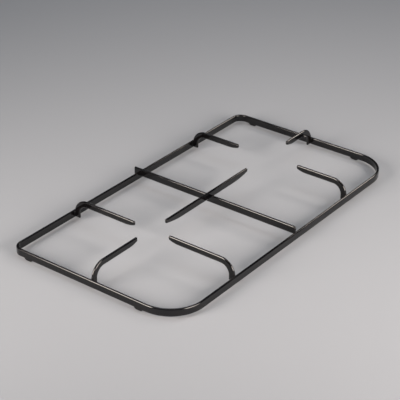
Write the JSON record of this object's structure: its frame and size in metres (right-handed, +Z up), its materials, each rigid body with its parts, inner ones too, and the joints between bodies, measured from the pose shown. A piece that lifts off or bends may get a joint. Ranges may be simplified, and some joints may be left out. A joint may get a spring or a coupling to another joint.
{
  "type": "hob pan support",
  "caption": "Welded flat-bar pan support for one half of a gas hob: a rounded frame, a cross bar and tapered fingers that carry pans over a small and a large burner.",
  "frame": {"origin": "middle of the outline in plan, on the surface that the feet stand on", "axes": "+Z up, +X across the support towards the widely rounded corners, +Y along it towards the large burner"},
  "size_m": [0.24, 0.44, 0.0288],
  "materials": {
    "black_enamel": "gloss black vitreous enamel on steel"
  },
  "bodies": {
    "root": {"outer_frame": "black_enamel", "cross_bar": "black_enamel", "centre_bar": "black_enamel", "small_burner_inner_finger": "black_enamel", "small_burner_outer_finger": "black_enamel", "small_burner_end_finger": "black_enamel", "large_burner_inner_finger": "black_enamel", "large_burner_outer_finger": "black_enamel", "large_burner_end_finger": "black_enamel", "small_end_inner_foot": "black_enamel", "small_end_outer_foot": "black_enamel", "large_end_inner_foot": "black_enamel", "large_end_outer_foot": "black_enamel"}
  },
  "joints": []
}
